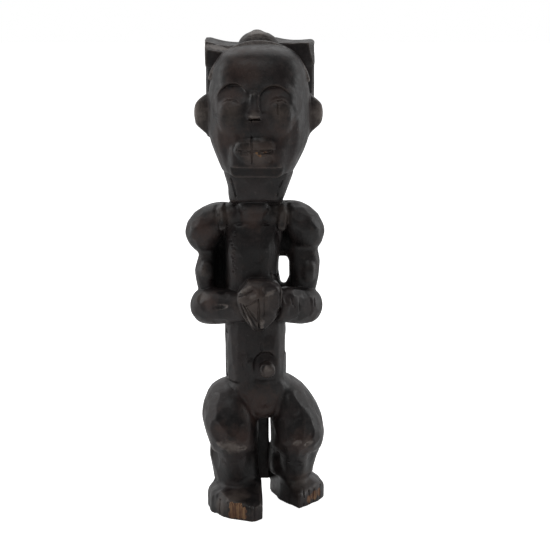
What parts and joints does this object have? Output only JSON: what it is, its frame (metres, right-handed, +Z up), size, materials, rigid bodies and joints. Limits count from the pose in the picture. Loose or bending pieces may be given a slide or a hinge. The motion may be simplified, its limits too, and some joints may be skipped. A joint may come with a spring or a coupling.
{
  "type": "carved guardian figure",
  "caption": "Standing carved wooden figure with a winged headdress, hands joined on the belly, bent legs and a post behind the legs for setting it on a container.",
  "frame": {"origin": "on the ground under the middle of the figure's bounding box", "axes": "+Z up through the crest, -Y the way the face looks, +X towards the figure's own left side"},
  "size_m": [0.1202, 0.0992, 0.4],
  "materials": {
    "patina_wood": "dark brown-black rubbed patina, semi-gloss",
    "worn_wood": "the same patina rubbed thinner, with bare wood where the toes are chipped"
  },
  "bodies": {
    "root": {"head": "patina_wood", "beard": "patina_wood", "headdress": "patina_wood", "crest": "patina_wood", "ear_right": "patina_wood", "ear_left": "patina_wood", "neck": "patina_wood", "tress_right": "patina_wood", "tress_left": "patina_wood", "chest": "patina_wood", "belly": "patina_wood", "navel": "worn_wood", "shoulder_right": "patina_wood", "shoulder_left": "patina_wood", "armpit_right": "patina_wood", "armpit_left": "patina_wood", "upper_arm_right": "patina_wood", "upper_arm_left": "patina_wood", "forearm_right": "patina_wood", "forearm_left": "patina_wood", "hand_right": "worn_wood", "hand_left": "worn_wood", "pelvis": "patina_wood", "thigh_right": "patina_wood", "thigh_left": "patina_wood", "calf_right": "patina_wood", "calf_left": "patina_wood", "foot_right": "worn_wood", "foot_left": "worn_wood", "post": "patina_wood"}
  },
  "joints": []
}
